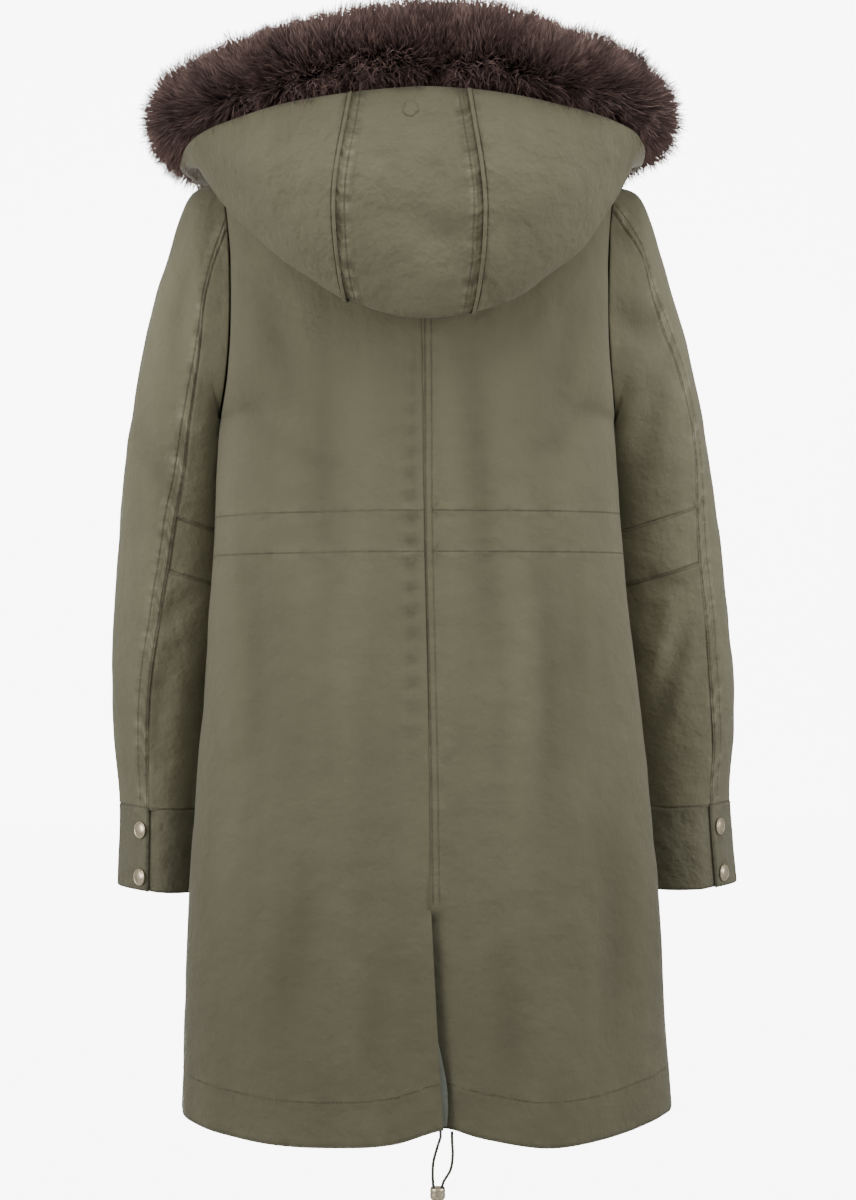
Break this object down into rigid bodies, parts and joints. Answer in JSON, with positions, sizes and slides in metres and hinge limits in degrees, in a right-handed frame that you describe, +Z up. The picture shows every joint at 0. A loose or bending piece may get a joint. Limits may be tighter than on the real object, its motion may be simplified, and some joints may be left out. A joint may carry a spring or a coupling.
{
  "type": "fur trimmed parka",
  "caption": "Long hooded parka in olive twill, worn shape with the hood down, fur along the hood edge, back vent with a hem cord, two-piece sleeves with stud cuffs.",
  "frame": {"origin": "at the nape, where the neck seam meets the centre back, where the wearer's neck and shoulders hold the coat", "axes": "+Z up along the coat's length; -Y is the coat's back, +Y its front; +X is the wearer's right"},
  "size_m": [0.564, 0.3743, 0.9817],
  "materials": {
    "twill": "washed matt cotton twill",
    "fur": "dense soft dark brown fur with lighter tips",
    "stud": "antique brass, softly polished",
    "cord": "fine braided dark green cord"
  },
  "bodies": {
    "root": {"back_left": "twill", "back_right": "twill", "front_left": "twill", "front_right": "twill", "front_placket": "twill", "sleeve_left_upper": "twill", "sleeve_left_under_top": "twill", "sleeve_left_elbow": "twill", "sleeve_left_under_bottom": "twill", "cuff_left": "twill", "sleeve_right_upper": "twill", "sleeve_right_under_top": "twill", "sleeve_right_elbow": "twill", "sleeve_right_under_bottom": "twill", "cuff_right": "twill", "hood_left": "twill", "hood_centre": "twill", "hood_right": "twill", "fur_trim": "fur", "cuff_left_stud_upper": "stud", "cuff_left_stud_lower": "stud", "cuff_right_stud_upper": "stud", "cuff_right_stud_lower": "stud", "front_stud_1": "stud", "front_stud_2": "stud", "front_stud_3": "stud", "front_stud_4": "stud", "front_stud_5": "stud", "hem_cord_left": "cord", "hem_cord_right": "cord", "cord_end": "stud"}
  },
  "joints": []
}
